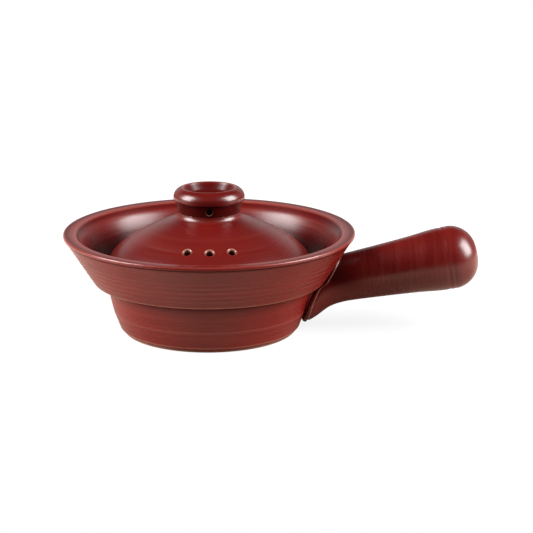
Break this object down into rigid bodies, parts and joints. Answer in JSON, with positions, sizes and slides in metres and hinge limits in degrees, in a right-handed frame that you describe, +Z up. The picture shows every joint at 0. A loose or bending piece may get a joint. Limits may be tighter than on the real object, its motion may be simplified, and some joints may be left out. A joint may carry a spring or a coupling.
{
  "type": "lidded clay medicine pot",
  "caption": "Shallow glazed clay pot with a flared rim, stepped wall and hollow side handle, and a loose domed lid with steam holes and a hollow knob.",
  "frame": {"origin": "middle of the flat base that the pot stands on", "axes": "+X along the handle, away from the pot; +Z up, square to the base; the steam holes face -Y"},
  "size_m": [0.2859, 0.2, 0.0998],
  "materials": {
    "pot_glaze": "wine-red satin glaze with fine turning rings, bare clay on the base",
    "handle_glaze": "wine-red satin glaze with faint turning rings",
    "lid_glaze": "wine-red satin glaze, smooth"
  },
  "bodies": {
    "pot": {"pot_body": "pot_glaze", "handle": "handle_glaze"},
    "lid": {"lid": "lid_glaze", "knob": "lid_glaze"}
  },
  "joints": [
    {"name": "lid_lift", "type": "slide", "parent": "pot", "child": "lid", "axis": [0, 0, 1], "range_m": [0, 0.08]}
  ]
}
